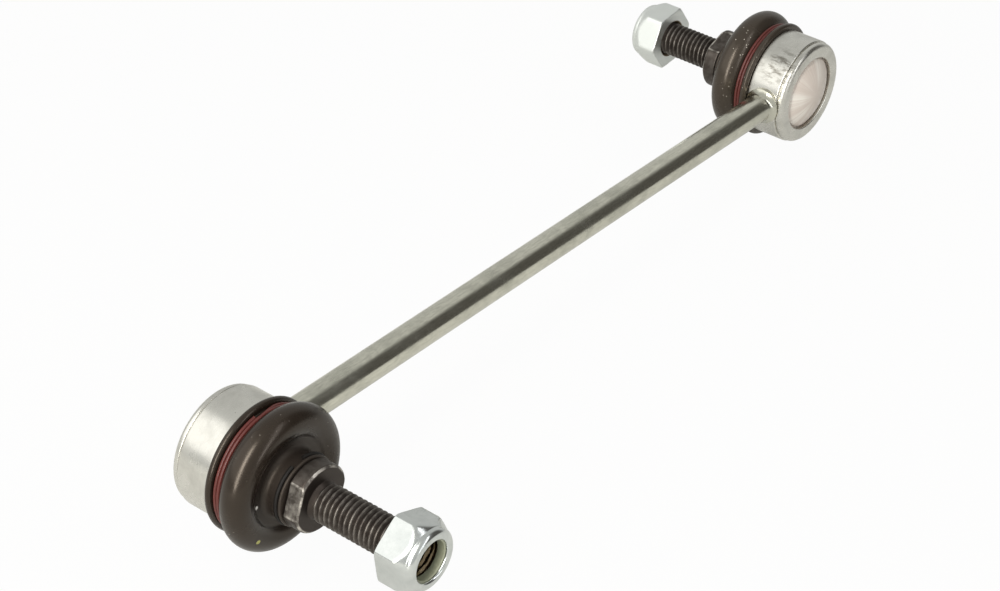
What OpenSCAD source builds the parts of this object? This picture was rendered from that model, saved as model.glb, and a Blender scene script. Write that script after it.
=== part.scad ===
// Stabilizer link: a round steel rod with an opposed ball joint at each end.
// The rod lies along X, the stud of end A points to -Y and the stud of end B to +Y.
// Each joint is drawn about its own stud axis: z = 0 is the rod axis, +z is towards the thread.

/* [Link] */
// Distance between the two stud axes
centre_distance = 238; // [180:1:320]
// Diameter of the round rod
rod_diameter = 8.3; // [7:0.1:9.2]
// Diameter of the flared shoulder where the rod meets a housing
shoulder_diameter = 10.8; // [9.8:0.1:10.8]
// Length of the shoulder outside the housing wall
shoulder_length = 2.7; // [2:0.1:6]
// Length of the shoulder's plain edge next to the housing wall
shoulder_land = 0.4; // [0.2:0.1:1]

/* [Housing] */
// Outside diameter of the housing wall
housing_diameter = 31.5; // [28:0.1:36]
// Thickness of the housing wall around the plastic seat
housing_wall = 3.35; // [3:0.05:4]
// Depth of the housing behind the back of the ball
rear_cover = 0.1; // [0:0.1:1.2]
// Place of the shoulder that the boot's lip lies against
boot_shoulder = 5.5; // [5.4:0.1:7]
// Depth of the groove that holds the boot
boot_groove_depth = 1.45; // [1:0.05:1.6]
// Width of the groove that holds the boot
boot_groove_width = 4.25; // [4:0.05:5]
// Width of the flange in front of the boot groove
front_flange = 1.35; // [1:0.05:2]
// How far the front flange stands in from the housing wall
flange_inset = 0.75; // [0.4:0.05:0.9]
// Width of the rolled rim at the rear
rim_width = 2.4; // [2:0.1:2.8]
// How far the rolled rim stands in from the housing wall
rim_inset = 0.35; // [0.1:0.05:0.6]
// Rounding of the rolled rim
rim_round = 1.5; // [0.8:0.1:1.9]
// Thickness of the rolled lip that holds the end cap
rim_lip = 1.25; // [0.9:0.05:1.6]
// How far the rolled lip covers the end cap
rim_cover = 1.2; // [0.8:0.1:1.5]
// Depth of the fine groove between wall and rolled rim
rim_groove = 0.4; // [0.2:0.05:0.6]

/* [Ball joint] */
// Diameter of the ball
ball_diameter = 16; // [14.4:0.1:17]
// Distance of the ball centre in front of the rod axis
ball_offset = 1.5; // [1:0.1:2]
// Largest swing of the stud from the housing axis, in degrees
swing = 26; // [16:1:27]
// Thickness of the end cap
cap_wall = 1.2; // [0.9:0.1:1.4]
// Height of the end cap's dome
cap_rise = 3.2; // [2.2:0.1:3.5]
// Depth of the dome's edge below the rolled rim
cap_depth = 1; // [0.4:0.1:1.1]
// Gap between the rolled rim and the dome's edge
cap_gap = 0.6; // [0.2:0.1:0.9]
// Thickness of the end cap's flange
cap_flange = 1; // [0.7:0.1:1.2]

/* [Stud] */
// Diameter of the neck between ball and boot seat
neck_diameter = 9.2; // [8:0.1:9.6]
// Diameter of the cylinder that carries the boot's small end
boot_seat_diameter = 12.4; // [11:0.1:13]
// Distance from the rod axis to the back of the collar
collar_distance = 22.2; // [21:0.1:25]
// Diameter of the collar
collar_diameter = 17.5; // [16.5:0.1:20]
// Thickness of the collar
collar_thickness = 4.4; // [3.5:0.1:6]
// Chamfer on the collar's front edge
collar_chamfer = 0.8; // [0.3:0.1:1.2]
// Width across the two wrench flats of the collar
collar_flats = 15; // [14.4:0.1:16]
// Diameter of the thread
thread_diameter = 10; // [9:0.1:10.4]
// Length of the thread in front of the collar
thread_length = 27.4; // [26:0.1:34]
// Width of the relief between collar and thread
relief_width = 1; // [0.6:0.1:2]
// Depth of the relief between collar and thread
relief_depth = 0.8; // [0.4:0.1:1.2]
// Length of thread that a bracket can take up
grip_length = 15; // [10:0.1:15.6]
// How much smaller the thread's lead end is in diameter
lead_reduction = 0.4; // [0.35:0.05:0.6]
// Chamfer at the tip of the thread
tip_chamfer = 0.9; // [0.4:0.1:1.4]
// Turn of the wrench flats at end A, in degrees
flats_turn_a = 162; // [0:1:180]
// Turn of the wrench flats at end B, in degrees
flats_turn_b = 70; // [0:1:180]

/* [Boot] */
// Thickness of the boot's lip above the housing groove
boot_lip = 3.05; // [2.6:0.05:3.6]
// Width of the boot's lip
boot_lip_width = 1.9; // [1.6:0.05:2]
// Thickness of the boot under the clamp band
band_floor = 1.2; // [0.9:0.05:1.5]
// How far the bulge stands out beyond the lip
bulge_over = 1.4; // [0.8:0.1:2]
// Radius of the bulge in section
bulge_radius = 4.1; // [3.8:0.1:4.3]
// Wall thickness of the boot
boot_wall = 1.4; // [1.1:0.1:1.5]
// Distance from the housing's front face to the middle of the bulge
bulge_ahead = 2.6; // [2.5:0.1:3.2]
// Depth of the recess behind the bulge's crest
recess_depth = 1.7; // [1:0.1:2]
// Wall thickness of the boot's small end
sleeve_wall = 2; // [1.6:0.1:2.4]
// Height of the small end's lip
sleeve_lip = 0.9; // [0.6:0.1:1.2]

/* [Rings] */
// Wire diameter of the two-turn clamp band
band_wire = 1.1; // [0.9:0.05:1.15]
// Wire diameter of the small-end clip
clip_wire = 1.1; // [0.8:0.05:1.2]

/* [Nut] */
// Width across the flats of the lock nut
nut_flats = 17; // [16:0.1:19]
// Height of the lock nut
nut_height = 9.9; // [9.6:0.1:12]
// Height of the hexagon at its corners
nut_corner_height = 5.5; // [4:0.1:6]
// Cut of the hexagon's corners at the bearing face
nut_corner_cut = 0.4; // [0.2:0.1:1]
// Diameter of the crown that holds the insert
crown_diameter = 16; // [14.8:0.1:16.2]
// Height of the crown above the hexagon
crown_height = 1.7; // [1.7:0.1:2.6]
// Rounding of the crown
crown_round = 1.6; // [1:0.1:1.7]
// Thickness of the crown's rolled edge over the insert
crown_lip = 0.7; // [0.5:0.1:1]
// Width of the crown's rolled edge over the insert
crown_cover = 0.95; // [0.5:0.05:1]
// Height of the nylon insert
insert_height = 2.3; // [1.6:0.1:2.4]
// Wall of the nylon insert
insert_wall = 1.24; // [1:0.02:1.3]
// Distance from the collar to the nut at end A
nut_gap_a = 23.4; // [17:0.1:24]
// Distance from the collar to the nut at end B
nut_gap_b = 17.2; // [16.8:0.1:24]
// Turn of the nut at end A, in degrees
nut_turn_a = 39.9; // [0:0.1:60]
// Turn of the nut at end B, in degrees
nut_turn_b = 52.9; // [0:0.1:60]

/* [Hidden] */
$fn = 96;

// Clearances between pieces
weld_gap = 0.02;
ball_play = 0.05;
seat_play = 0.05;
boot_play = 0.05;
band_play = 0.05;
thread_play = 0.06;
swing_play = 0.35;
collar_play = 0.3;
insert_play = 0.04;
over = 1;

// Ends along X
side_a = -1;
side_b = 1;

// Housing
housing_r = housing_diameter / 2;
groove_r = housing_r - boot_groove_depth;
flange_r = housing_r - flange_inset;
flange_back = boot_shoulder + boot_groove_width;
front_depth = flange_back + front_flange;
rim_r = housing_r - rim_inset;
pocket_r = housing_r - housing_wall;
ball_r = ball_diameter / 2;
rim_back = ball_offset - ball_r - rear_cover;
rim_front = rim_back + rim_width;
lip_inner = rim_back + rim_lip;

// Ball joint
neck_r = neck_diameter / 2;
cavity_r = ball_r + ball_play;
seat_r = pocket_r - seat_play;
front_wall = 1.8;
seat_front = front_depth - front_wall - seat_play;
mouth_angle = swing + asin(neck_r / cavity_r) + 2;
mouth_r = cavity_r * sin(mouth_angle);
mouth_z = ball_offset + cavity_r * cos(mouth_angle);
function swept_r(z) = (z - ball_offset) * tan(swing) + neck_r / cos(swing) + swing_play;
seat_mouth_r = swept_r(seat_front);
throat_r = swept_r(front_depth) + swing_play;
opening_r = pocket_r - rim_cover;
seat_back = lip_inner + cap_flange + 2 * seat_play;

// End cap
cap_r = pocket_r - seat_play;
plug_r = opening_r - cap_gap;
plug_end = rim_back + cap_depth;
dome_r = (plug_r * plug_r + cap_rise * cap_rise) / (2 * cap_rise);
dome_z = plug_end - cap_rise + dome_r;
cap_bore_r = plug_r - cap_wall;

// Stud
seat_cyl_r = boot_seat_diameter / 2;
collar_r = collar_diameter / 2;
collar_front = collar_distance + collar_thickness;
thread_r = thread_diameter / 2;
lead_r = thread_r - lead_reduction / 2;
grip_start = collar_front + relief_width;
grip_end = grip_start + grip_length;
tip = collar_front + thread_length;

// Boot
boot_bore_r = groove_r + boot_play;
boot_lip_r = groove_r + boot_lip;
boot_back = boot_shoulder + 2 * boot_play;
lip_front = boot_back + boot_lip_width;
band_floor_r = boot_bore_r + band_floor;
bulge_r = boot_lip_r + bulge_over - bulge_radius;
bulge_z = front_depth + bulge_ahead;
bulge_inner = bulge_radius - boot_wall;
recess_z = bulge_z + bulge_radius - recess_depth;
cavity_top = recess_z - boot_wall;
sleeve_bore_r = seat_cyl_r + boot_play;
sleeve_r = sleeve_bore_r + sleeve_wall;
sleeve_top = collar_distance - collar_play;
sleeve_lip_r = sleeve_r + sleeve_lip;
seat_cyl_start = cavity_top + boot_wall / 2;
flare = seat_cyl_r - neck_r;

// Rings
band_r = band_wire / 2;
band_mid_r = band_floor_r + band_r + band_play;
band_z1 = lip_front + band_r + band_play;
band_z2 = band_z1 + 0.96 * band_wire;
clip_r = clip_wire / 2;
clip_mid_r = sleeve_r + clip_r + band_play;
clip_z = sleeve_top - sleeve_lip - clip_r - band_play;

// Nut
nut_bore_r = thread_r + thread_play;
nut_corner_r = nut_flats / sqrt(3);
nut_face_r = nut_corner_r - nut_corner_cut;
nut_hex_height = nut_height - crown_height;
crown_r = crown_diameter / 2;
crown_open_r = nut_bore_r + insert_wall - crown_cover;
insert_r = nut_bore_r + insert_wall;
insert_z = nut_height - crown_lip - insert_height;

// Puts a joint drawn about its own stud axis at one end of the rod
module at_end(side) {
    rotate([0, 0, side > 0 ? 180 : 0])
        translate([-centre_distance / 2, 0, 0])
            rotate([90, 0, 0])
                children();
}

// Rectangle in a revolved section, from radius r0 to r1 and from z0 to z1
module band(r0, r1, z0, z1) {
    translate([r0, z0]) square([r1 - r0, z1 - z0]);
}

// Half of the rod, from the middle to the end on one side
module rod_half() {
    wall = centre_distance / 2 - housing_r;
    shoulder_r = shoulder_diameter / 2;
    rod_r = rod_diameter / 2;
    rod_end = centre_distance / 2 - housing_r / 2;
    rotate([0, 90, 0])
        rotate_extrude()
            polygon([
                [0, 0],
                [rod_r, 0],
                [rod_r, wall - shoulder_length],
                [shoulder_r, wall - shoulder_land],
                [shoulder_r, rod_end],
                [0, rod_end]
            ]);
}

module link_rod() {
    color([0.76, 0.77, 0.73])
        difference() {
            for (side = [side_a, side_b]) rotate([0, 0, side > 0 ? 0 : 180]) rod_half();
            for (side = [side_a, side_b])
                at_end(side)
                    translate([0, 0, rim_back - over])
                        cylinder(r = housing_r + weld_gap, h = front_depth - rim_back + 2 * over);
        }
}

// Cup with a rolled rear rim, a fine groove, a plain wall and a grooved front end for the boot
module housing(side) {
    at_end(side)
        color([0.78, 0.79, 0.76])
            rotate_extrude()
                difference() {
                    union() {
                        band(0, rim_r - rim_round, rim_back, rim_front + over);
                        band(0, rim_r, rim_back + rim_round, rim_front - rim_groove);
                        translate([rim_r - rim_round, rim_back + rim_round]) circle(rim_round);
                        band(0, rim_r - rim_groove, rim_back + rim_round, rim_front + over);
                        band(0, housing_r, rim_front, boot_shoulder);
                        band(0, groove_r, boot_shoulder - over, front_depth);
                        band(0, flange_r, flange_back, front_depth);
                    }
                    band(-over, opening_r, rim_back - over, lip_inner + over);
                    band(-over, pocket_r, lip_inner, front_depth - front_wall);
                    band(-over, throat_r, 0, front_depth + over);
                }
}

module housing_a() { housing(side_a); }
module housing_b() { housing(side_b); }

// Plastic shell around the ball, open in front for the swinging neck
module ball_seat(side) {
    at_end(side)
        color([0.88, 0.86, 0.82])
            difference() {
                translate([0, 0, seat_back]) cylinder(r = seat_r, h = seat_front - seat_back);
                translate([0, 0, ball_offset]) sphere(cavity_r);
                translate([0, 0, mouth_z])
                    cylinder(r1 = mouth_r, r2 = seat_mouth_r, h = seat_front - mouth_z);
                translate([0, 0, seat_front - 0.01]) cylinder(r = seat_mouth_r, h = over);
            }
}

module ball_seat_a() { ball_seat(side_a); }
module ball_seat_b() { ball_seat(side_b); }

// Domed plastic cap under the rolled lip
module end_cap(side) {
    at_end(side)
        color([0.82, 0.78, 0.74])
            difference() {
                union() {
                    translate([0, 0, lip_inner + seat_play]) cylinder(r = cap_r, h = cap_flange);
                    translate([0, 0, plug_end]) cylinder(r = plug_r, h = lip_inner + cap_flange - plug_end);
                    intersection() {
                        translate([0, 0, dome_z]) sphere(dome_r);
                        translate([0, 0, plug_end - cap_rise - over]) cylinder(r = plug_r, h = cap_rise + over);
                    }
                }
                intersection() {
                    translate([0, 0, dome_z]) sphere(dome_r - cap_wall);
                    translate([0, 0, plug_end - cap_rise]) cylinder(r = cap_bore_r, h = -rim_back);
                }
            }
}

module end_cap_a() { end_cap(side_a); }
module end_cap_b() { end_cap(side_b); }

// Two turns of wire that clamp the boot in the housing groove
module boot_band(side) {
    at_end(side)
        color([0.5, 0.2, 0.18])
            rotate_extrude() {
                translate([band_mid_r, band_z1]) circle(band_r);
                translate([band_mid_r, band_z2]) circle(band_r);
            }
}

module boot_band_a() { boot_band(side_a); }
module boot_band_b() { boot_band(side_b); }

// Section of the boot, filled, from its lip over the bulge to its small end
module boot_outside() {
    half = boot_lip_width / 2;
    band(0, boot_lip_r - half, boot_back, lip_front);
    translate([boot_lip_r - half, boot_back + half]) circle(half);
    band(0, band_floor_r, boot_back, bulge_z);
    translate([bulge_r, bulge_z]) circle(bulge_radius);
    band(0, bulge_r, bulge_z, recess_z);
    band(0, sleeve_r, recess_z - over, sleeve_top);
    band(0, sleeve_lip_r - sleeve_lip / 2, sleeve_top - sleeve_lip, sleeve_top);
    translate([sleeve_lip_r - sleeve_lip / 2, sleeve_top - sleeve_lip / 2]) circle(sleeve_lip / 2);
}

// Section of the space inside the boot, around the housing's front end and the stud
module boot_inside() {
    flange_clear = 2 * boot_play;
    band(-over, boot_bore_r, boot_back - over, front_depth);
    band(-over, flange_r + flange_clear, flange_back - boot_play, front_depth + boot_play);
    translate([bulge_r, bulge_z]) circle(bulge_inner);
    band(-over, bulge_r, front_depth - over, cavity_top);
    band(-over, sleeve_bore_r, cavity_top - over, sleeve_top + over);
}

module dust_boot(side) {
    at_end(side)
        color([0.2, 0.19, 0.17])
            rotate_extrude()
                difference() {
                    boot_outside();
                    boot_inside();
                }
}

module dust_boot_a() { dust_boot(side_a); }
module dust_boot_b() { dust_boot(side_b); }

// Wire ring behind the lip of the boot's small end
module boot_clip(side) {
    at_end(side)
        color([0.24, 0.22, 0.2])
            rotate_extrude()
                translate([clip_mid_r, clip_z]) circle(clip_r);
}

module boot_clip_a() { boot_clip(side_a); }
module boot_clip_b() { boot_clip(side_b); }

// Ball, neck, boot seat, collar and threaded end in one piece
module ball_stud(side, flats_turn) {
    at_end(side)
        color([0.2, 0.18, 0.17])
            union() {
                translate([0, 0, ball_offset]) sphere(ball_r);
                translate([0, 0, ball_offset]) cylinder(r = neck_r, h = collar_distance - ball_offset);
                translate([0, 0, seat_cyl_start - flare]) cylinder(r1 = neck_r, r2 = seat_cyl_r, h = flare);
                translate([0, 0, seat_cyl_start]) cylinder(r = seat_cyl_r, h = collar_distance - seat_cyl_start);
                difference() {
                    translate([0, 0, collar_distance])
                        rotate_extrude()
                            polygon([
                                [0, 0],
                                [collar_r - collar_chamfer / 2, 0],
                                [collar_r, collar_chamfer / 2],
                                [collar_r, collar_thickness - collar_chamfer],
                                [collar_r - collar_chamfer, collar_thickness],
                                [0, collar_thickness]
                            ]);
                    for (turn = [0, 180])
                        rotate([0, 0, flats_turn + turn])
                            translate([collar_flats / 2, -collar_r, collar_distance - over])
                                cube([collar_r, 2 * collar_r, collar_thickness + 2 * over]);
                }
                translate([0, 0, collar_front - over]) cylinder(r = thread_r - relief_depth, h = relief_width + 2 * over);
                translate([0, 0, collar_front])
                    cylinder(r1 = thread_r + thread_play, r2 = thread_r - relief_depth, h = relief_width * 0.7);
                translate([0, 0, grip_start]) cylinder(r = thread_r, h = grip_length);
                translate([0, 0, grip_end - over]) cylinder(r = lead_r, h = tip - tip_chamfer - grip_end + over);
                translate([0, 0, tip - tip_chamfer]) cylinder(r1 = lead_r, r2 = lead_r - tip_chamfer, h = tip_chamfer);
            }
}

module ball_stud_a() { ball_stud(side_a, flats_turn_a); }
module ball_stud_b() { ball_stud(side_b, flats_turn_b); }

// Hexagon with a steep cone up to a rounded crown, which is rolled over the insert
module lock_nut(side, gap, turn) {
    edge_slope = tan(30);
    cone_slope = (nut_hex_height - nut_corner_height) / (nut_corner_r - crown_r);
    at_end(side)
        translate([0, 0, collar_front + gap])
            rotate([0, 0, turn])
                color([0.75, 0.77, 0.75])
                    difference() {
                        union() {
                            intersection() {
                                cylinder(r = nut_corner_r, h = nut_hex_height, $fn = 6);
                                rotate_extrude()
                                    polygon([
                                        [0, 0],
                                        [nut_face_r, 0],
                                        [nut_corner_r + over, (nut_corner_cut + over) * edge_slope],
                                        [nut_corner_r + over, nut_corner_height - over * cone_slope],
                                        [crown_r, nut_hex_height],
                                        [0, nut_hex_height]
                                    ]);
                            }
                            rotate_extrude() {
                                band(0, crown_r, nut_hex_height - over, nut_height - crown_round);
                                band(0, crown_r - crown_round, nut_hex_height, nut_height);
                                translate([crown_r - crown_round, nut_height - crown_round]) circle(crown_round);
                            }
                        }
                        translate([0, 0, -over]) cylinder(r = nut_bore_r, h = nut_height);
                        translate([0, 0, -0.01])
                            cylinder(r1 = nut_bore_r + 0.6, r2 = nut_bore_r, h = 0.6);
                        translate([0, 0, insert_z]) cylinder(r = insert_r, h = insert_height);
                        translate([0, 0, insert_z]) cylinder(r = crown_open_r, h = nut_height);
                    }
}

module lock_nut_a() { lock_nut(side_a, nut_gap_a, nut_turn_a); }
module lock_nut_b() { lock_nut(side_b, nut_gap_b, nut_turn_b); }

// Nylon ring in the crown of the nut
module nut_insert(side, gap) {
    at_end(side)
        translate([0, 0, collar_front + gap + insert_z + insert_play])
            color([0.5, 0.52, 0.43])
                difference() {
                    cylinder(r = insert_r - insert_play, h = insert_height - 2 * insert_play);
                    translate([0, 0, -over]) cylinder(r = nut_bore_r, h = insert_height + 2 * over);
                }
}

module nut_insert_a() { nut_insert(side_a, nut_gap_a); }
module nut_insert_b() { nut_insert(side_b, nut_gap_b); }

link_rod();
housing_a();
housing_b();
ball_seat_a();
ball_seat_b();
end_cap_a();
end_cap_b();
boot_band_a();
boot_band_b();
dust_boot_a();
dust_boot_b();
boot_clip_a();
boot_clip_b();
ball_stud_a();
ball_stud_b();
lock_nut_a();
lock_nut_b();
nut_insert_a();
nut_insert_b();
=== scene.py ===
import math

import bpy
from mathutils import Matrix, Vector


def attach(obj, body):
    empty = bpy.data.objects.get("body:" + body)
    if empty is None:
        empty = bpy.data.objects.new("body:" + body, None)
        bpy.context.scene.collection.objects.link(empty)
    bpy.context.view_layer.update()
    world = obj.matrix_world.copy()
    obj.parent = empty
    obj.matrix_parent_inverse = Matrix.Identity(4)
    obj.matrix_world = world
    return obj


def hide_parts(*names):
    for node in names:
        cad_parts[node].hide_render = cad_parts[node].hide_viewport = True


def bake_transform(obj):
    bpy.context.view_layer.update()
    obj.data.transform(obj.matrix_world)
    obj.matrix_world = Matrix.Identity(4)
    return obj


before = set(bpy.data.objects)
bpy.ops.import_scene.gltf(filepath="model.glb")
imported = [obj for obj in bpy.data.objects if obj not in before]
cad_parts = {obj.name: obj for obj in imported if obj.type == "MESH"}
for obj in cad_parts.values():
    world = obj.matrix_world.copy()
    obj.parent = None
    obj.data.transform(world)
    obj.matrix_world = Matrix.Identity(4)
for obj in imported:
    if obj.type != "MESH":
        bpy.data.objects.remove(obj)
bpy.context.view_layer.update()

scene = bpy.context.scene
MM = 0.001

# Sizes in millimetres. Each joint is drawn about its own stud axis: z runs from
# the rod's axis towards the thread, x from the housing towards the rod.
HALF = 119.0
ROD_R, ROD_END = 4.15, 104.7
SHOULDER_R, SHOULDER_END, SHOULDER_LAND, FLARE_POWER = 5.4, 18.45, 0.4, 2.2
WELD_GAP, SEAM_WIDTH, SEAM_DEPTH = 0.02, 0.35, 0.12
HOUSING_R = 15.75
BALL_R, BALL_Z, NECK_R, SEAT_R = 8.0, 1.5, 4.6, 6.2
COLLAR_R, COLLAR_FLAT, COLLAR_BACK, COLLAR_FRONT = 8.75, 7.5, 22.2, 26.6
THREAD_ROOT, THREAD_CREST, PITCH = 4.07, 4.95, 1.5
THREAD_FOOT, THREAD_CUT, TIP = 25.5, 27.35, 54.0
BULGE_R, BULGE_Z, BULGE, BULGE_FOOT, BOOT_WALL = 14.65, 13.7, 4.1, 9.6, 0.6
BAND_R, BAND_Z, BAND_STEP, BAND_WIRE = 16.06, 8.2, 0.98, 0.46
CLIP_R, CLIP_Z, CLIP_WIRE = 8.85, 20.4, 0.55
NUT_FLAT, NUT_TOP, CROWN_R, CROWN_ROUND = 8.5, 9.9, 8.0, 1.6
BORE_R, BORE_TOP, BORE_GROOVE = 5.06, 6.7, 0.42
FLOOR_SIZE, FLOOR_Z = 6000.0, -34.0
# Angle on the bulge, in degrees, where the boot's skirt ends and its shell begins.
SPLIT = -33.0
# The higher this power, the sharper the corner between two pressed flats.
CORNER_POWER = 40

# The two ends face opposite ways along Y.
END = {
    "a": Matrix(((1, 0, 0, -HALF * MM), (0, 0, -1, 0), (0, 1, 0, 0), (0, 0, 0, 1))),
    "b": Matrix(((-1, 0, 0, HALF * MM), (0, 0, 1, 0), (0, 1, 0, 0), (0, 0, 0, 1))),
}
# Turns in degrees, places of the nuts' faces in millimetres, wear as a share.
COLLAR_TURN = {"a": 162.0, "b": 70.0}
NUT_TURN = {"a": 39.9, "b": 52.9}
NUT_FACE = {"a": 50.0, "b": 43.8}
LAP = {"a": 99.0, "b": 215.0}
FLAT_WEAR = {"a": 0.4, "b": 0.1}


def ink(code):
    """Linear colour of an sRGB hex value."""
    parts = [int(code[i:i + 2], 16) / 255 for i in (1, 3, 5)]
    return [c / 12.92 if c <= 0.04045 else ((c + 0.055) / 1.055) ** 2.4 for c in parts] + [1.0]


def per_mm(size):
    """Texture scale that makes one step of a pattern this many millimetres."""
    return 1.0 / (size * MM)


def add_node(tree, kind, inputs=None, **settings):
    """Adds a node with its settings, and sets or links its inputs."""
    made = tree.nodes.new(kind)
    for name, value in settings.items():
        setattr(made, name, value)
    for socket, value in (inputs or {}).items():
        if isinstance(value, bpy.types.NodeSocket):
            tree.links.new(value, made.inputs[socket])
        else:
            made.inputs[socket].default_value = value
    return made


def arc(r, z, radius, start, end, count):
    """Points of a rounding in a half section, angles from the outward direction."""
    turn = [math.radians(start + (end - start) * i / count) for i in range(count + 1)]
    return [(r + radius * math.cos(a), z + radius * math.sin(a)) for a in turn]


def bulge(start, end, count, inside=False):
    """Points on the outer or the inner face of the boot's bulge."""
    return arc(BULGE_R, BULGE_Z, BULGE - BOOT_WALL if inside else BULGE, start, end, count)


def straight(a, b, step):
    """Points from a to b, close enough together to be pressed into shape."""
    count = max(1, round(math.dist(a, b) / step))
    return [(a[0] + (b[0] - a[0]) * i / count, a[1] + (b[1] - a[1]) * i / count)
            for i in range(count + 1)]


def start_line(name, points):
    """A line of edges drawn by extruding one vertex, left in edit mode."""
    bpy.ops.object.select_all(action="DESELECT")
    bpy.ops.mesh.primitive_plane_add(size=MM)
    piece = bpy.context.object
    piece.name = piece.data.name = name
    bpy.ops.object.mode_set(mode="EDIT")
    bpy.ops.mesh.select_all(action="SELECT")
    bpy.ops.mesh.merge(type="CENTER")
    bpy.ops.transform.translate(value=(points[0][0] * MM, 0, points[0][1] * MM))
    for (r0, z0), (r1, z1) in zip(points, points[1:]):
        if math.dist((r0, z0), (r1, z1)) > 1e-4:
            bpy.ops.mesh.extrude_vertices_move(
                TRANSFORM_OT_translate={"value": ((r1 - r0) * MM, 0, (z1 - z0) * MM)})
    return piece


def close_up():
    """Merges doubles and turns the faces outwards, in edit mode, then leaves it."""
    bpy.ops.mesh.select_all(action="SELECT")
    bpy.ops.mesh.remove_doubles(threshold=2e-6)
    bpy.ops.mesh.select_all(action="SELECT")
    bpy.ops.mesh.normals_make_consistent(inside=False)
    bpy.ops.object.mode_set(mode="OBJECT")


def turned(name, section, steps):
    """A closed solid turned about Z from its half section, as on a lathe."""
    piece = start_line(name, section)
    bpy.ops.mesh.select_all(action="SELECT")
    bpy.ops.mesh.spin(steps=steps, angle=2 * math.pi, center=(0, 0, 0), axis=(0, 0, 1))
    close_up()
    return piece


def only(piece):
    """Selects one piece and makes it active."""
    bpy.ops.object.select_all(action="DESELECT")
    piece.select_set(True)
    bpy.context.view_layer.objects.active = piece


def merge_pressed(piece):
    """Cleans a piece whose vertices have been pressed together."""
    only(piece)
    bpy.ops.object.mode_set(mode="EDIT")
    bpy.ops.mesh.select_all(action="SELECT")
    bpy.ops.mesh.remove_doubles(threshold=4e-6)
    bpy.ops.mesh.dissolve_degenerate(threshold=2e-6)
    close_up()


def place(piece, matrix, angle=30):
    """Moves the mesh to its place and smooths its curved faces."""
    only(piece)
    piece.matrix_world = matrix
    bpy.ops.object.transform_apply(location=True, rotation=True, scale=True)
    bpy.ops.object.shade_smooth_by_angle(angle=math.radians(angle))


def finish(piece, material, slot, *nodes):
    """Gives a piece its material and hides the solids that it stands for. The slot is not used."""
    piece.data.materials.clear()
    piece.data.materials.append(material)
    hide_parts(*nodes)


def soft_least(a, b, reach):
    """The lesser of two radii, rounded where they cross."""
    mixed = max(reach - abs(a - b), 0.0) / reach
    return min(a, b) - mixed * mixed * reach / 4


def press_flats(piece, half_width, directions, edge, reach):
    """Presses flats with rounded corners into a round blank.

    edge(z) says how far a flat is drawn in near its ends."""
    for vertex in piece.data.vertices:
        x, y, z = vertex.co
        radius = math.hypot(x, y) / MM
        if radius < half_width - 1.5:
            continue
        angle = math.atan2(y, x)
        # a high power of the distances blends two neighbouring flats over about a millimetre
        near_flat = sum(max(math.cos(angle - d), 0.2) ** CORNER_POWER for d in directions)
        limit = (half_width - edge(z / MM)) / near_flat ** (1 / CORNER_POWER)
        pressed = soft_least(radius, limit, reach)
        vertex.co.x *= pressed / radius
        vertex.co.y *= pressed / radius


def paint(piece, name, rule):
    """Gives each vertex a value by a rule on its place in millimetres."""
    layer = piece.data.attributes.new(name, "FLOAT", "POINT")
    for vertex in piece.data.vertices:
        layer.data[vertex.index].value = rule(*(c / MM for c in vertex.co))


def quarter(depth, radius):
    """How far a rounding has drawn in at a depth below its edge."""
    if depth >= radius:
        return 0.0
    return radius - math.sqrt(max(radius * radius - (radius - max(depth, 0.0)) ** 2, 0.0))


# The camera of the photograph.
bpy.ops.object.camera_add(location=(-0.4505764, -0.3257279, 0.3600392))
camera = bpy.context.object
camera.rotation_euler = [math.radians(a) for a in (55.88467, -2.27678, -51.35976)]
camera.data.sensor_width = 36.0
camera.data.sensor_fit = "HORIZONTAL"
camera.data.lens = 89.454
camera.data.clip_start = 0.02
scene.camera = camera

# Materials. Patterns are sized in millimetres on object coordinates.


def new_material(name):
    """An empty material with its shader and object coordinates."""
    material = bpy.data.materials.new(name)
    material.use_nodes = True
    tree = material.node_tree
    tree.nodes.clear()
    shader = add_node(tree, "ShaderNodeBsdfPrincipled")
    add_node(tree, "ShaderNodeOutputMaterial", {"Surface": shader.outputs[0]})
    coordinates = add_node(tree, "ShaderNodeTexCoord")
    return material, tree, shader, coordinates.outputs["Object"]


def noise(tree, spot, size, detail, roughness=0.5, distortion=0.0):
    """Cloudy noise of one size in millimetres, or of three along x, y and z."""
    scale = 1.0
    if isinstance(size, tuple):
        spot = add_node(tree, "ShaderNodeMapping", {
            "Vector": spot, "Scale": [per_mm(s) for s in size]}).outputs[0]
    else:
        scale = per_mm(size)
    return add_node(tree, "ShaderNodeTexNoise", {
        "Vector": spot, "Scale": scale, "Detail": detail,
        "Roughness": roughness, "Distortion": distortion}).outputs[0]


def specks(tree, spot, size):
    """Distance from the middle of the nearest of scattered cells of a size in millimetres."""
    return add_node(tree, "ShaderNodeTexVoronoi", {
        "Vector": spot, "Scale": per_mm(size), "Randomness": 1.0}).outputs["Distance"]


def remap(tree, value, low, high, to_low=0.0, to_high=1.0):
    """A value stretched from one range to another and held within it."""
    return add_node(tree, "ShaderNodeMapRange", {
        "Value": value, "From Min": low, "From Max": high,
        "To Min": to_low, "To Max": to_high}).outputs[0]


def sums(tree, operation, *values):
    """One step of arithmetic on values."""
    return add_node(tree, "ShaderNodeMath", dict(enumerate(values)), operation=operation).outputs[0]


def mix(tree, share, under, over):
    """One colour laid over another by a share. A colour is a hex value or a socket."""
    low, high = (ink(c) if isinstance(c, str) else c for c in (under, over))
    return add_node(tree, "ShaderNodeMix", {0: share, 6: low, 7: high}, data_type="RGBA").outputs[2]


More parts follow.
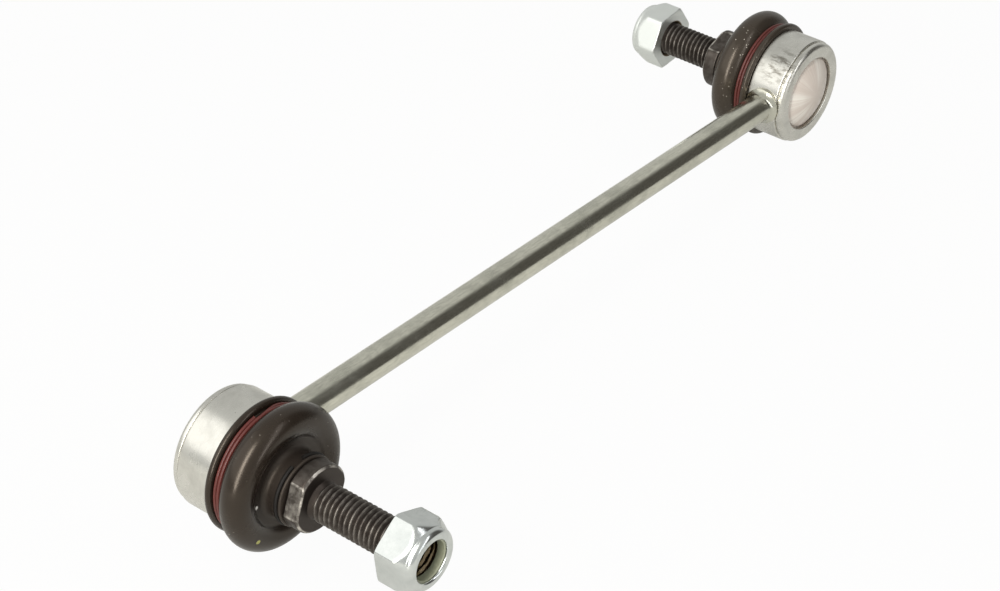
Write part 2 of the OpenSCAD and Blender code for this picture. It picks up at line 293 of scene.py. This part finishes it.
def dress(tree, shader, colour, rough, relief, strength, depth):
    """Joins colour, roughness and a fine relief, its depth in millimetres, to the shader."""
    bump = add_node(tree, "ShaderNodeBump", {
        "Height": relief, "Strength": strength, "Distance": depth * MM})
    for socket, value in (("Base Color", colour), ("Roughness", rough), ("Normal", bump.outputs[0])):
        tree.links.new(value, shader.inputs[socket])


def stud_offset(tree, spot):
    """Offset of a place from the nearer stud axis, seen along that axis."""
    folded = add_node(tree, "ShaderNodeVectorMath", {0: spot}, operation="ABSOLUTE")
    wide = add_node(tree, "ShaderNodeSeparateXYZ", {0: folded.outputs[0]})
    signed = add_node(tree, "ShaderNodeSeparateXYZ", {0: spot})
    across = sums(tree, "SUBTRACT", wide.outputs[0], HALF * MM)
    return add_node(tree, "ShaderNodeCombineXYZ", {0: across, 2: signed.outputs[2]}).outputs[0]


def stud_radius(tree, spot):
    """Distance of a place from the nearer stud axis."""
    return add_node(tree, "ShaderNodeVectorMath", {
        0: stud_offset(tree, spot)}, operation="LENGTH").outputs[1]


def near(tree, spot, centre, inner, outer):
    """1 within the inner distance of a point in millimetres, falling to 0 at the outer one."""
    away = add_node(tree, "ShaderNodeVectorMath", {
        0: spot, 1: [c * MM for c in centre]}, operation="DISTANCE")
    return remap(tree, away.outputs[1], inner * MM, outer * MM, 1.0, 0.0)


def bright_zinc(name, pale, grey, grain, smudge_size, dull, contrast,
                oiled=False, stain=None, hazed=None):
    """Bright zinc plate: pale warm-grey mirror, fine tool lines, cloudy smudges.

    grain is the size in millimetres of the tool lines along x, y and z. Where the
    attribute oil is painted, brown oil covers it. A stain is a streaked dull patch,
    and round hazed the plate is whiter and duller."""
    material, tree, shader, spot = new_material(name)
    lines = noise(tree, spot, grain, 3.0, 0.6)
    dirty = remap(tree, noise(tree, spot, smudge_size, 5.0, 0.62, 0.4), 0.42, 0.72)
    # small dark pits in the plate, about a quarter of a millimetre across
    pits = remap(tree, specks(tree, spot, 4.5), 0.02, 0.04, 0.7, 0.0)
    streaked = remap(tree, lines, 0.3, 0.7, 1.0 - contrast, 1.0 + contrast)
    lined = add_node(tree, "ShaderNodeVectorMath", {
        0: mix(tree, dirty, pale, grey), "Scale": streaked}, operation="SCALE")
    base = mix(tree, pits, lined.outputs[0], "#5B564C")
    gloss = remap(tree, dirty, 0.0, 1.0, dull - 0.06, dull + 0.08)
    rough = sums(tree, "MULTIPLY_ADD", pits, 0.3, gloss)
    if hazed:
        haze = near(tree, spot, *hazed)
        base = mix(tree, haze, base, "#EBEEEB")
        rough = sums(tree, "MULTIPLY_ADD", haze, 0.28, rough)
    if oiled:
        oil = add_node(tree, "ShaderNodeAttribute", attribute_name="oil")
        base = mix(tree, oil.outputs["Fac"], base, "#86765F")
    if stain:
        blots = remap(tree, noise(tree, spot, (1.1, 4.0, 1.1), 5.0, 0.7), 0.47, 0.6, 0.0, 0.75)
        patch = sums(tree, "MULTIPLY", blots, near(tree, spot, *stain))
        base = mix(tree, patch, base, "#736D62")
    shader.inputs["Metallic"].default_value = 1.0
    dress(tree, shader, base, rough, lines, 0.06, 0.02)
    return material


def moulded_cap():
    """Natural acetal, moulded and rolled in: pinkish beige, satin, with painted highlights as pale streaks
    from the centre.
    """
    material, tree, shader, spot = new_material("natural_acetal_moulded_cap")
    outward = add_node(tree, "ShaderNodeVectorMath", {0: stud_offset(tree, spot)}, operation="NORMALIZE")
    painted_glints = add_node(tree, "ShaderNodeTexNoise", {
        "Vector": outward.outputs[0], "Scale": 2.6, "Detail": 3.0, "Roughness": 0.75})
    fading = remap(tree, stud_radius(tree, spot), 1.0 * MM, 6.0 * MM)
    # painted highlights: pale streaks that run out from the centre, laid into the colour
    shown = sums(tree, "MULTIPLY", remap(tree, painted_glints.outputs[0], 0.45, 0.68), fading)
    blot = noise(tree, spot, 4.0, 4.0)
    colour = mix(tree, shown, mix(tree, blot, "#DACFC6", "#CDC0B6"), "#EDE8E0")
    rough = remap(tree, blot, 0.0, 1.0, 0.32, 0.5)
    shader.inputs["IOR"].default_value = 1.48
    dress(tree, shader, colour, rough, blot, 0.12, 0.05)
    return material


def moulded_plain(name, pale, dark, size, gloss, ior):
    """A moulded or coated plain surface: two close tones in soft blots, satin."""
    material, tree, shader, spot = new_material(name)
    blot = noise(tree, spot, size, 4.0, 0.6)
    rough = remap(tree, blot, 0.0, 1.0, gloss - 0.08, gloss + 0.08)
    shader.inputs["IOR"].default_value = ior
    dress(tree, shader, mix(tree, blot, pale, dark), rough, blot, 0.2, 0.03)
    return material


def dusty_rubber():
    """Moulded chloroprene rubber: brown-black satin, a streak of sheen, pale dust, two dabs of paint."""
    material, tree, shader, spot = new_material("moulded_chloroprene_boot")
    skin = noise(tree, spot, 0.6, 3.0)
    cloud = noise(tree, spot, 8.0, 4.0, distortion=0.5)
    # dust grains up to half a millimetre across, in patches, and most of them in two places at end B
    dust = remap(tree, cloud, 0.44, 0.7, 0.0, 0.08)
    for centre in ((102.8, 6.5, 6.3), (107.8, 13.3, 15.1)):
        dust = sums(tree, "MULTIPLY_ADD", near(tree, spot, centre, 1.0, 9.0), 0.1, dust)
    grain = sums(tree, "LESS_THAN", specks(tree, spot, 1.5), dust)
    # painted shade: the hollow round the stud is painted one dark tone, and it is duller
    hollow_shade = remap(tree, stud_radius(tree, spot), 10.2 * MM, 12.2 * MM, 1.0, 0.0)
    body = mix(tree, cloud, "#1C1612", "#261F19")
    # end B is hazier with dust than end A
    hazy = mix(tree, near(tree, spot, (HALF, 12.0, 0.0), 25.0, 60.0), body, "#332D27")
    # painted shade in the hollow round the stud
    shade = mix(tree, hollow_shade, hazy, "#26201C")
    colour = mix(tree, grain, shade, "#B5AEA4")
    # a white and a yellow-green dab on the boot of end A
    for centre, reach, dab in (((-129.7, -16.0, -1.5), 0.4, "#EFECE6"),
                               ((-130.9, -17.6, -10.0), 0.5, "#9B9A52")):
        colour = mix(tree, near(tree, spot, centre, reach, reach + 0.2), colour, dab)
    gloss = remap(tree, cloud, 0.3, 0.7, 0.22, 0.3)
    rough = sums(tree, "MULTIPLY_ADD", hollow_shade, 0.22, gloss)
    shader.inputs["IOR"].default_value = 1.52
    shader.inputs["Specular Tint"].default_value = ink("#FFF0E0")
    dress(tree, shader, colour, rough, skin, 0.1, 0.03)
    return material


def black_phosphate():
    """Oiled black phosphate on forged steel: brown-black, a dull metal gleam, worn bright at the edges, and
    painted highlights on those edges and the thread crests.
    """
    material, tree, shader, spot = new_material("oiled_black_phosphate_stud")
    grain = noise(tree, spot, 0.35, 3.0)
    cloud = noise(tree, spot, 5.0, 4.0)
    worn_and_highlit = add_node(tree, "ShaderNodeAttribute", attribute_name="wear_and_highlight")
    patchy = remap(tree, noise(tree, spot, 1.6, 3.0), 0.36, 0.62, 0.15, 1.0)
    bare_and_highlit = sums(tree, "MULTIPLY", worn_and_highlit.outputs["Fac"], patchy)
    # the bare colour is wear, and on the collar's edges and the thread crests also a painted highlight
    colour = mix(tree, bare_and_highlit, mix(tree, cloud, "#3B3430", "#4C4540"), "#CFC9C0")
    rough = remap(tree, cloud, 0.0, 1.0, 0.36, 0.48)
    shader.inputs["Metallic"].default_value = 0.85
    dress(tree, shader, colour, rough, grain, 0.22, 0.04)
    return material


# Drawn along X: a fine grain in short strokes, 2.5 by 0.3 mm.
rod_zinc = bright_zinc("bright_zinc_drawn_rod", "#DAD8CA", "#C0BFB2", (2.5, 0.3, 0.3), 9.0, 0.22, 0.13)
# Turned about Y: rings round the housing, about 0.35 mm apart, and a stain on top of end B.
housing_zinc = bright_zinc(
    "bright_zinc_turned_housing", "#DFDDD6", "#CAC8C1", (9.0, 0.35, 9.0), 6.0, 0.31, 0.025,
    stain=((108.5, -1.2, 11.7), 2.5, 8.0))
# Cold-formed and barrel-plated: no direction, slightly blue, hazed on the nut of end B.
nut_zinc = bright_zinc(
    "blue_zinc_cold_formed_nut", "#D9DCDA", "#CBCFCD", (1.2, 1.2, 1.2), 5.0, 0.22, 0.03,
    oiled=True, hazed=((HALF, 48.0, 0.0), 14.0, 20.0))
cap_acetal = moulded_cap()
# Pale natural plastic, inside the housing.
seat_acetal = moulded_plain("natural_acetal_moulded_seat", "#E4DFD6", "#D3CCC1", 3.0, 0.4, 1.48)
# A thin dull red coat on the band.
red_wire = moulded_plain("red_coated_spring_wire", "#68302A", "#4E201C", 1.5, 0.36, 1.5)
# Nearly black and matt, in the boot's shade.
black_wire = moulded_plain("black_oxide_spring_wire", "#191512", "#100D0B", 1.5, 0.62, 1.36)
# Cloudy grey-green.
insert_nylon = moulded_plain("translucent_nylon_insert", "#A8AA94", "#878B74", 1.0, 0.38, 1.53)
boot_rubber = dusty_rubber()
stud_black = black_phosphate()

# The rod, turned along its own axis, with a saddle at each end on the housing wall.
flare = HALF - SHOULDER_END
land = HALF - HOUSING_R - SHOULDER_LAND
half_rod = ([(0.0, ROD_END)] + straight((0.6, ROD_END), (4.8, ROD_END), 0.5)
            + straight((SHOULDER_R, ROD_END), (SHOULDER_R, land), 0.1))
for i in range(1, 17):
    rise = 1 - i / 16
    half_rod.append((ROD_R + (SHOULDER_R - ROD_R) * rise ** FLARE_POWER, flare + (land - flare) * rise))
half_rod += straight((ROD_R, flare - 0.3), (ROD_R, flare - 8.3), 2.0)
rod = turned("link_rod_bar", half_rod + [(r, -x) for r, x in reversed(half_rod)], 128)
for vertex in rod.data.vertices:
    x, y, z = (c / MM for c in vertex.co)
    side = 1 if z > 0 else -1
    # the finished rod lies along X, so this x is the height over the rod's axis
    gap = math.hypot(HALF - abs(z), x) - (HOUSING_R + WELD_GAP)
    if gap < 0:
        vertex.co.z = side * (HALF - math.sqrt((HOUSING_R + WELD_GAP) ** 2 - x * x)) * MM
    if gap < SEAM_WIDTH:
        # an undercut that leaves a dark seam against the housing
        shrink = 1 - SEAM_DEPTH * (1 - max(gap, 0.0) / SEAM_WIDTH) ** 2
        vertex.co.x *= shrink
        vertex.co.y *= shrink
merge_pressed(rod)
place(rod, Matrix(((0, 0, 1, 0), (0, 1, 0, 0), (-1, 0, 0, 0), (0, 0, 0, 1))))
finish(rod, rod_zinc, "zinc_plated_rod", "link_rod")
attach(rod, "link")

# Half sections of the turned pieces of a joint, as radius and height.
# Rolled rear rim, fine groove, wall, boot groove, front flange, and the inside.
housing_section = (
    arc(11.6, -6.2, 0.4, 180, 270, 5) + arc(13.9, -5.1, 1.5, -90, 0, 16)
    + arc(15.1, -4.9, 0.3, 0, 90, 7) + [(15.1, -4.45)] + arc(HOUSING_R - 0.45, -3.95, 0.45, -90, 0, 9)
    + straight((HOUSING_R, -3.6), (HOUSING_R, 5.2), 2.2) + arc(HOUSING_R - 0.3, 5.2, 0.3, 0, 90, 5)
    + [(14.3, 5.5), (14.3, 9.75)] + arc(14.8, 9.95, 0.2, -90, 0, 3) + arc(14.6, 10.7, 0.4, 0, 90, 4)
    + arc(10.8, 10.8, 0.3, 90, 180, 3)
    + [(10.5, 9.3), (12.4, 9.3), (12.4, -5.35), (11.2, -5.35), (11.2, -6.2)])
# Dome, rounded edge, flange under the rim, and the dome's inside.
cap_section = (
    arc(0, 10.36, 19.16, -90, -57.4, 16) + arc(10.3, -5.45, 0.3, -57, 0, 4)
    + [(10.55, -4.9), (12.35, -4.9), (12.35, -4.3), (9.4, -4.3)]
    + arc(0, 10.36, 17.96, -58.4, -90, 12))
# Lip, seat of the band, and the lower side of the bulge. The last few degrees at
# a split are finer, so that the two sides bend alike.
skirt_section = (
    [(14.35, 5.8), (14.55, 5.6)] + arc(16.38, 6.6, 1.0, -90, 90, 16) + arc(15.8, 7.85, 0.25, 270, 180, 4)
    + straight((15.55, 8.0), (15.55, BULGE_FOOT), 0.4)
    + bulge(-77.2, SPLIT - 4, 36) + bulge(SPLIT - 3.6, SPLIT, 12) + bulge(SPLIT, -66, 30, inside=True)
    + [(15.3, 10.0), (14.9, 9.7), (14.35, 9.7), (14.35, 5.8)])
# The bulge from the split to its top.
shell_section = (
    bulge(SPLIT, SPLIT + 3.6, 12) + bulge(SPLIT + 4, 86, 76) + bulge(86.4, 90, 12)
    + bulge(90, 86.4, 6, inside=True) + bulge(86, SPLIT + 4, 58, inside=True)
    + bulge(SPLIT + 3.6, SPLIT, 8, inside=True))
shell_section.append(shell_section[0])
# The bulge's inner side, the hollow, and the small end with its lip.
sleeve_section = (
    bulge(90, 93.6, 12) + bulge(94, 138, 32) + [(11.36, 16.26), (11.0, 16.14), (10.4, 16.1)]
    + arc(9.75, 17.6, 1.5, -90, -180, 10) + straight((8.25, 18.0), (8.25, 20.8), 0.5)
    + arc(8.35, 20.9, 0.1, 180, 90, 2) + arc(8.7, 21.45, 0.45, -90, 90, 8)
    + [(6.45, 21.9), (6.25, 21.7), (6.25, 15.5), (11.55, 15.5)]
    + bulge(149, 94, 24, inside=True) + bulge(93.6, 90, 6, inside=True) + [(BULGE_R, BULGE_Z + BULGE)])
# Ball, neck, boot seat, collar, and the core of the thread.
stud_section = (
    arc(0, BALL_Z, BALL_R, -90, 52, 40) + arc(5.1, 8.35, 0.5, 200, 180, 2) + [(NECK_R, 14.2)]
    + arc(5.2, 14.4, 0.6, 180, 140, 3) + arc(5.6, 15.7, 0.6, -40, 0, 3)
    + [(SEAT_R, 16.2), (SEAT_R, 21.9)] + arc(6.5, 21.9, 0.3, 180, 90, 4)
    + straight((6.9, COLLAR_BACK), (8.2, COLLAR_BACK), 0.2) + arc(8.3, 22.65, 0.45, -90, 0, 7)
    + straight((COLLAR_R, 22.8), (COLLAR_R, 25.6), 0.14) + arc(COLLAR_R - 0.5, 25.7, 0.5, 0, 45, 5)
    + straight((8.57, 26.08), (8.3, 26.35), 0.08) + arc(7.85, 26.1, 0.5, 45, 90, 4)
    + straight((7.7, COLLAR_FRONT), (5.4, COLLAR_FRONT), 0.2) + arc(5.1, 26.9, 0.3, 270, 220, 3)
    + [(4.25, 27.5), (4.0, 27.9), (4.0, 29.4), (0, 29.4)])
# Bearing face, hexagon, chamfer, crown with its rolled edge, insert pocket, and bore.
nut_section = (
    straight((5.66, 0), (8.9, 0), 0.25) + straight((9.1, 0), (9.95, 0.34), 0.07)
    + [(9.95, 0.4), (9.95, 0.5), (9.95, 0.7)] + straight((9.95, 1.1), (9.95, 4.7), 0.4)
    + straight((9.95, 4.8), (9.95, 5.25), 0.08) + straight((9.95, 5.3), (8.2, 7.903), 0.07)
    + arc(8.35, 8.25, 0.35, 215, 180, 4)
    + arc(CROWN_R - CROWN_ROUND, NUT_TOP - CROWN_ROUND, CROWN_ROUND, 3, 90, 18)
    + arc(6.05, NUT_TOP - 0.7, 0.7, 90, 180, 10) + [(6.3, 9.2), (6.3, 6.9)]
    + straight((5.5, 6.9), (BORE_R, 6.8), 0.2) + straight((BORE_R, 6.75), (BORE_R, 0.75), 0.15)
    + straight((BORE_R, 0.6), (5.66, 0), 0.15))
insert_section = (
    [(5.03, 7.0), (6.26, 7.0), (6.26, 9.15)] + arc(5.43, 8.75, 0.4, 90, 180, 5) + [(5.03, 7.0)])


def thread_coil(name):
    """The rolled M10 thread as a closed coil, right-handed, one pitch per turn."""
    tooth = [(THREAD_ROOT, 0.0), (4.12, 0.08), (4.7, 0.42), (4.87, 0.54), (4.93, 0.65), (THREAD_CREST, 0.75),
             (4.93, 0.85), (4.87, 0.96), (4.7, 1.08), (4.12, 1.42), (THREAD_ROOT, PITCH)]
    coil = start_line(name, [(r, z + THREAD_FOOT) for r, z in tooth])
    bpy.ops.object.mode_set(mode="OBJECT")
    only(coil)
    screw = coil.modifiers.new("Screw", "SCREW")
    screw.axis, screw.angle, screw.screw_offset = "Z", 2 * math.pi, PITCH * MM
    screw.steps = screw.render_steps = 96
    screw.iterations = 20
    bpy.ops.object.modifier_apply(modifier="Screw")
    bpy.ops.object.mode_set(mode="EDIT")
    bpy.ops.mesh.select_all(action="SELECT")
    bpy.ops.mesh.remove_doubles(threshold=2e-6)
    for height, low in ((THREAD_CUT, True), (TIP, False)):
        bpy.ops.mesh.select_all(action="SELECT")
        bpy.ops.mesh.bisect(plane_co=(0, 0, height * MM), plane_no=(0, 0, 1),
                            use_fill=True, clear_inner=low, clear_outer=not low)
    close_up()
    for vertex in coil.data.vertices:
        x, y, z = (c / MM for c in vertex.co)
        radius = math.hypot(x, y)
        # the chamfer at the tip, and the run-out at the collar
        limit = min(4.9 - (z - 53.1) * 0.9, 4.25 + max(z - 27.5, 0.0) * 0.8)
        if radius > limit:
            vertex.co.x *= limit / radius
            vertex.co.y *= limit / radius
    return coil


def ball_stud(end):
    """Ball, neck, collar with two wrench flats, and the rolled thread, in one forging."""
    stud = turned("ball_stud_" + end + "_forging", stud_section, 240)
    facing = [math.radians(COLLAR_TURN[end]), math.radians(COLLAR_TURN[end] + 180)]

    def edge(z):
        """Rounds the flats towards the collar's faces and leaves what lies behind it round."""
        if z < COLLAR_BACK - 0.2:
            return -9.0
        return quarter(COLLAR_FRONT - z, 0.4) + quarter(z - COLLAR_BACK, 0.3)

    press_flats(stud, COLLAR_FLAT, facing, edge, 0.3)
    merge_pressed(stud)
    coil = thread_coil("thread_" + end)
    only(stud)
    union = stud.modifiers.new("Union", "BOOLEAN")
    union.operation, union.solver, union.object = "UNION", "EXACT", coil
    bpy.ops.object.modifier_apply(modifier="Union")
    bpy.data.objects.remove(coil)

    def wear_and_highlight(x, y, z):
        """How far the coating has worn, and where a highlight is painted: wear and painted highlight on the
        thread crests and the collar's edges, wear on its flats.
        """
        radius = math.hypot(x, y)
        out = max(x * math.cos(a) + y * math.sin(a) for a in facing)
        # wear and painted highlight on the thread crests
        if z > 27.6:
            return 0.22 * min(max((radius - 4.5) / 0.4, 0.0), 1.0)
        if not COLLAR_BACK < z < COLLAR_FRONT - 0.02 or radius < 7.0:
            return 0.0
        flat = out > COLLAR_FLAT - 0.06
        # wear and painted highlight on the collar's edges
        front_edge = COLLAR_FRONT - z < 0.6 and (radius > 8.2 or out > COLLAR_FLAT - 0.5)
        if front_edge or flat and radius > COLLAR_R - 0.3:
            return 0.9
        return FLAT_WEAR[end] if flat else 0.08

    paint(stud, "wear_and_highlight", wear_and_highlight)
    place(stud, END[end])
    finish(stud, stud_black, "black_stud", "ball_stud_" + end)
    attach(stud, "stud_" + end)


def lock_nut(end):
    """A plain hexagon lock nut: six flats, steep chamfer, rounded crown, threaded bore, insert."""
    nut = turned("lock_nut_" + end + "_hexagon", nut_section, 360)
    flats = [math.radians(30 + 60 * k) for k in range(6)]
    press_flats(nut, NUT_FLAT, flats, lambda z: quarter(z, 0.32), 0.6)
    for vertex in nut.data.vertices:
        x, y, z = (c / MM for c in vertex.co)
        radius = math.hypot(x, y)
        if radius < 5.2 and z < BORE_TOP:
            # one groove of the thread per pitch, fading out below the insert
            place_in_turn = (z / PITCH - math.atan2(y, x) / (2 * math.pi)) % 1.0
            depth = BORE_GROOVE * (1 - abs(2 * place_in_turn - 1)) * min(1.0, (BORE_TOP - z) / 0.5)
            vertex.co.x *= (radius + depth) / radius
            vertex.co.y *= (radius + depth) / radius
    merge_pressed(nut)
    paint(nut, "oil", lambda x, y, z: 1.0 if math.hypot(x, y) < 5.75 and z < 6.85 else 0.0)
    lift = (Matrix.Translation((0, 0, NUT_FACE[end] * MM))
            @ Matrix.Rotation(math.radians(NUT_TURN[end]), 4, "Z"))
    place(nut, END[end] @ lift)
    finish(nut, nut_zinc, "zinc_plated_nut", "lock_nut_" + end)
    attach(nut, "nut_" + end)
    ring = turned("nut_insert_" + end + "_ring", insert_section, 128)
    place(ring, END[end] @ lift)
    finish(ring, insert_nylon, "insert_nylon", "nut_insert_" + end)
    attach(ring, "nut_" + end)


def bent_wire(name, route, thickness):
    """Round wire along a route, closed at its two ends."""
    bpy.ops.object.select_all(action="DESELECT")
    bpy.ops.curve.primitive_nurbs_path_add()
    wire = bpy.context.object
    wire.name = wire.data.name = name
    wire.data.splines.clear()
    spline = wire.data.splines.new("POLY")
    spline.points.add(len(route) - 1)
    for point, (x, y, z) in zip(spline.points, route):
        point.co = (x * MM, y * MM, z * MM, 1.0)
    wire.data.bevel_depth = thickness * MM
    wire.data.bevel_resolution = 5
    wire.data.use_fill_caps = True
    bpy.ops.object.convert(target="MESH")
    wire = bpy.context.object
    bpy.ops.object.mode_set(mode="EDIT")
    close_up()
    return wire


def boot_band(end):
    """Two turns of red wire with a step where the second turn leaves the first."""
    route = []
    for i in range(361):
        turn = i / 360 * (4 * math.pi - 0.16)
        step = min(max((turn - 2 * math.pi + 0.5) / 0.42, 0.0), 1.0)
        height = BAND_Z + BAND_STEP * step * step * (3 - 2 * step)
        angle = turn + math.radians(LAP[end])
        route.append((BAND_R * math.cos(angle), BAND_R * math.sin(angle), height))
    band = bent_wire("boot_band_" + end + "_wire", route, BAND_WIRE)
    place(band, END[end])
    finish(band, red_wire, "red_band", "boot_band_" + end)
    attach(band, "link")


def boot_clip(end):
    """An open spring ring round the boot's small end."""
    route = []
    for i in range(181):
        angle = math.radians(LAP[end] + 12 + 336 * i / 180)
        route.append((CLIP_R * math.cos(angle), CLIP_R * math.sin(angle), CLIP_Z))
    clip = bent_wire("boot_clip_" + end + "_wire", route, CLIP_WIRE)
    place(clip, END[end])
    finish(clip, black_wire, "clip_wire", "boot_clip_" + end)
    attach(clip, "clip_" + end)


def dust_boot(end):
    """The rubber boot in three: a skirt to the lower side of its bulge, a shell to the top, a sleeve."""
    parts = []
    for name, section in (("skirt", skirt_section), ("shell", shell_section), ("sleeve", sleeve_section)):
        part = turned("dust_boot_" + end + "_" + name, section, 192)
        place(part, END[end], 40)
        finish(part, boot_rubber, "boot_rubber", "dust_boot_" + end)
        parts.append(part)
    skirt, shell, sleeve = parts
    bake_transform(skirt)
    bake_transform(shell)
    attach(sleeve, "clip_" + end)


def joint(end):
    """All the pieces of one ball joint."""
    housing = turned("housing_" + end + "_cup", housing_section, 256)
    place(housing, END[end])
    finish(housing, housing_zinc, "zinc_plated_housing", "housing_" + end)
    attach(housing, "link")
    cap = turned("end_cap_" + end + "_disc", cap_section, 192)
    place(cap, END[end])
    finish(cap, cap_acetal, "cap_plastic", "end_cap_" + end)
    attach(cap, "link")
    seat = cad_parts["ball_seat_" + end]
    seat.data.materials.clear()
    seat.data.materials.append(seat_acetal)
    boot_band(end)
    dust_boot(end)
    boot_clip(end)
    ball_stud(end)
    lock_nut(end)


for end in ("a", "b"):
    joint(end)

# Floor, room and lights.


def white_share(tree, to_camera, in_metal):
    """The share of plain white that a ray meets, straight or through glass, or mirrored in metal."""
    ray = add_node(tree, "ShaderNodeLightPath")
    seen = sums(tree, "MAXIMUM", ray.outputs["Is Camera Ray"], ray.outputs["Is Transmission Ray"])
    shown = sums(tree, "MULTIPLY", seen, to_camera)
    mirrored = sums(tree, "MULTIPLY", ray.outputs["Is Glossy Ray"], in_metal)
    return sums(tree, "MAXIMUM", shown, mirrored)


def toward(azimuth, height):
    """The unit vector in a direction given by two angles in degrees."""
    a, e = math.radians(azimuth), math.radians(height)
    return Vector((math.cos(e) * math.cos(a), math.cos(e) * math.sin(a), math.sin(e)))


def softbox(name, start, stop, distance, width, brightness, colour):
    """A soft strip of light that runs between two directions, each an azimuth and a height."""
    low, high = toward(*start), toward(*stop)
    facing = (low + high).normalized()
    along = (high - low).normalized()
    length = 2 * distance * math.tan(low.angle(high) / 2)
    bpy.ops.object.light_add(type="AREA")
    lamp = bpy.context.object
    lamp.name = name
    turn = Matrix((along.cross(facing), along, facing)).transposed()
    lamp.matrix_world = Matrix.Translation(facing * distance) @ turn.to_4x4()
    lamp.data.shape = "RECTANGLE"
    lamp.data.size, lamp.data.size_y = width, length
    lamp.data.energy = brightness * math.pi * width * length
    lamp.data.color = ink(colour)[:3]
    lamp.visible_camera = False


# The floor is white paper, low enough for a stud at the end of its swing.
bpy.ops.object.select_all(action="DESELECT")
bpy.ops.mesh.primitive_plane_add(size=FLOOR_SIZE * MM, location=(0, 0, FLOOR_Z * MM))
floor = bpy.context.object
floor.name = "floor"
bpy.ops.object.transform_apply(location=True)
paper = bpy.data.materials.new("white_paper_floor")
paper.use_nodes = True
tree = paper.node_tree
tree.nodes.clear()
matt = add_node(tree, "ShaderNodeBsdfDiffuse", {"Color": ink("#D4D4D1")})
glow = add_node(tree, "ShaderNodeEmission", {"Color": (1, 1, 1, 1), "Strength": 1.0})
both = add_node(tree, "ShaderNodeMixShader", {
    0: white_share(tree, 0.95, 0.1), 1: matt.outputs[0], 2: glow.outputs[0]})
add_node(tree, "ShaderNodeOutputMaterial", {"Surface": both.outputs[0]})
floor.data.materials.append(paper)

# A pale grey room, with a dark wall that gives the metal its dark band; white to the camera.
world = bpy.data.worlds.new("studio")
scene.world = world
world.use_nodes = True
tree = world.node_tree
tree.nodes.clear()
where = add_node(tree, "ShaderNodeTexCoord")
facing = add_node(tree, "ShaderNodeVectorMath", {
    0: where.outputs["Generated"], 1: toward(-45, 22)}, operation="DOT_PRODUCT")
dark = add_node(tree, "ShaderNodeMapRange", {
    "Value": facing.outputs["Value"], "From Min": 0.71, "From Max": 0.93}, interpolation_type="SMOOTHSTEP")
room = mix(tree, dark.outputs[0], "#C6C7C4", "#3B3832")
sky = mix(tree, white_share(tree, 1.0, 0.05), room, "#FFFFFF")
air = add_node(tree, "ShaderNodeBackground", {"Color": sky, "Strength": 1.0})
add_node(tree, "ShaderNodeOutputWorld", {"Surface": air.outputs[0]})

# Seen from the camera: a broad panel on its left, a key strip close beside it, a side strip on its right.
softbox("broad_panel", (155, 12), (155, 62), 0.95, 1.5, 0.8, "#FFFEFB")
softbox("key_strip", (-168, 2), (-166, 60), 0.9, 0.18, 11.0, "#FFFCF6")
softbox("side_strip", (-97, 4), (-60, 55), 0.9, 0.13, 4.0, "#FBFCFF")

scene.view_settings.view_transform = "Standard"
